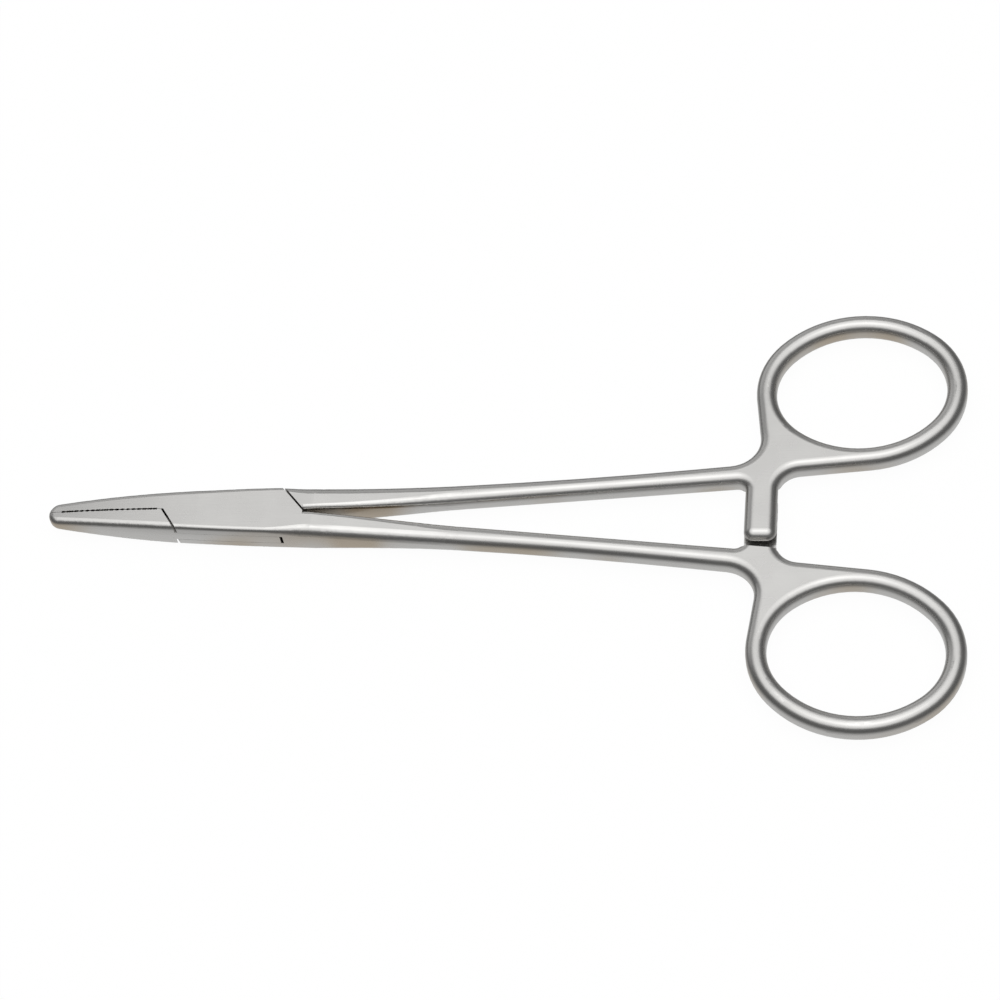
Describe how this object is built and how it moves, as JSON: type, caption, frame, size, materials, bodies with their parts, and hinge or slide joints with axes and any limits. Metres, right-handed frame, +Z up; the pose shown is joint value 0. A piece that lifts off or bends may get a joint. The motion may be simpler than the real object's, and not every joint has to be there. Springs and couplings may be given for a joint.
{
  "type": "surgical needle holder",
  "caption": "Straight ring-handled surgical needle holder with short blunt jaws, a box lock and a ratchet between the shanks, closed.",
  "frame": {"origin": "where the pivot axis meets the flat underside of the box lock", "axes": "+X along the closed instrument from the jaws to the finger rings, +Y towards the upper ring, +Z up along the pivot pin, out of the upper cheek"},
  "size_m": [0.1416, 0.075, 0.005],
  "materials": {
    "satin_steel": "satin ground stainless steel"
  },
  "bodies": {
    "box_half": {"box_half": "satin_steel", "pivot_pin": "satin_steel"},
    "tongue_half": {"tongue_half": "satin_steel"}
  },
  "joints": [
    {"name": "jaw_opening", "type": "hinge", "parent": "box_half", "child": "tongue_half", "pos_m": [0, 0, 0.0025], "axis": [0, 0, 1], "range_deg": [0, 35]}
  ]
}
